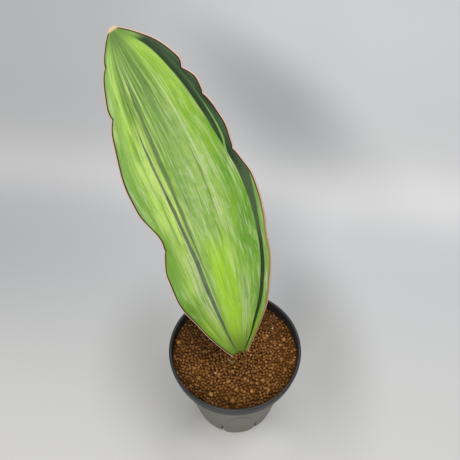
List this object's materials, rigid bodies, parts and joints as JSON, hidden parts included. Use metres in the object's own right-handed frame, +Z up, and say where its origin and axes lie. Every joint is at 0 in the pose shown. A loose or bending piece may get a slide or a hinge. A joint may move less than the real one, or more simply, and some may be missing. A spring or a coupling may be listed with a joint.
{
  "type": "potted snake plant",
  "caption": "Snake plant with one broad variegated leaf, standing in a round tapered nursery pot of granular substrate.",
  "frame": {"origin": "centre of the pot's underside, on the surface it stands on", "axes": "+Z up along the pot's axis; -Y is the front, which the leaf's hollow face looks to; the leaf leans to -X and +Y"},
  "size_m": [0.1452, 0.132, 0.3866],
  "materials": {
    "black_plastic": "satin moulded black plastic, slightly dusty",
    "brown_granules": "rough dry brown granules",
    "variegated_leaf": "waxy leaf, light green with dark green stripes and a reddish margin",
    "root_cream": "dull cream rhizome skin",
    "dry_paper": "dry papery scale leaf",
    "loose_grain": "rough lighter brown grain"
  },
  "bodies": {
    "root": {"pot": "black_plastic", "soil": "brown_granules", "leaf": "variegated_leaf", "rhizome": "root_cream", "dry_scale": "dry_paper", "loose_grain_1": "loose_grain", "loose_grain_2": "loose_grain", "loose_grain_3": "loose_grain", "loose_grain_4": "loose_grain", "loose_grain_5": "loose_grain", "loose_grain_6": "loose_grain"}
  },
  "joints": []
}
